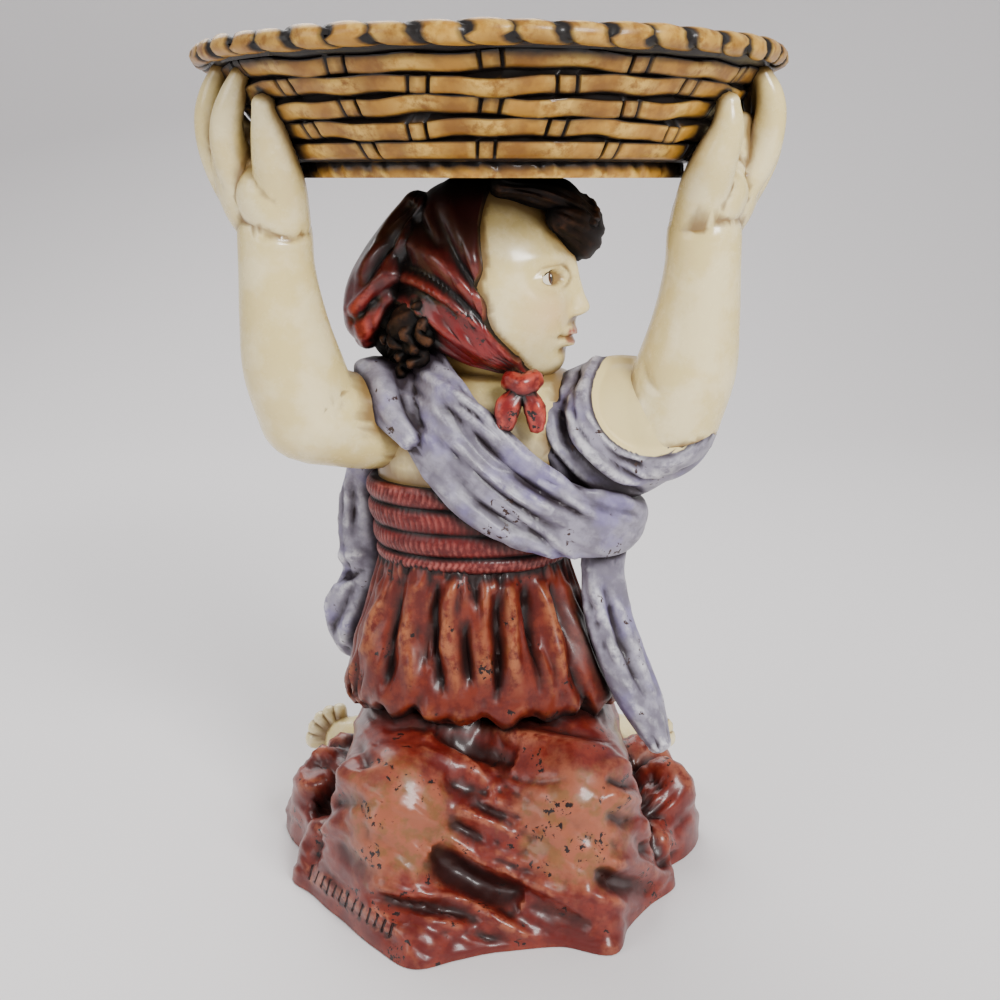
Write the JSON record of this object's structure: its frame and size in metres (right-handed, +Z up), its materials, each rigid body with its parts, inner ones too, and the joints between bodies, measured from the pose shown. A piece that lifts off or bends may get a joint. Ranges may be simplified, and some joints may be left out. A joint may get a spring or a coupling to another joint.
{
  "type": "kneeling girl garden statue",
  "caption": "Cold-cast resin garden statue of a kneeling child who holds a wide woven basket dish on her head with both hands.",
  "frame": {"origin": "middle of the basket's outline, on the floor that the underside rests on", "axes": "+Z up; the girl's knees point to -Y; her head is turned to +X, which is her left"},
  "size_m": [0.2944, 0.295, 0.4351],
  "materials": {
    "painted_resin": "hand-painted cold-cast resin with a dark antique wash, satin"
  },
  "bodies": {
    "root": {"statue": "painted_resin"}
  },
  "joints": []
}
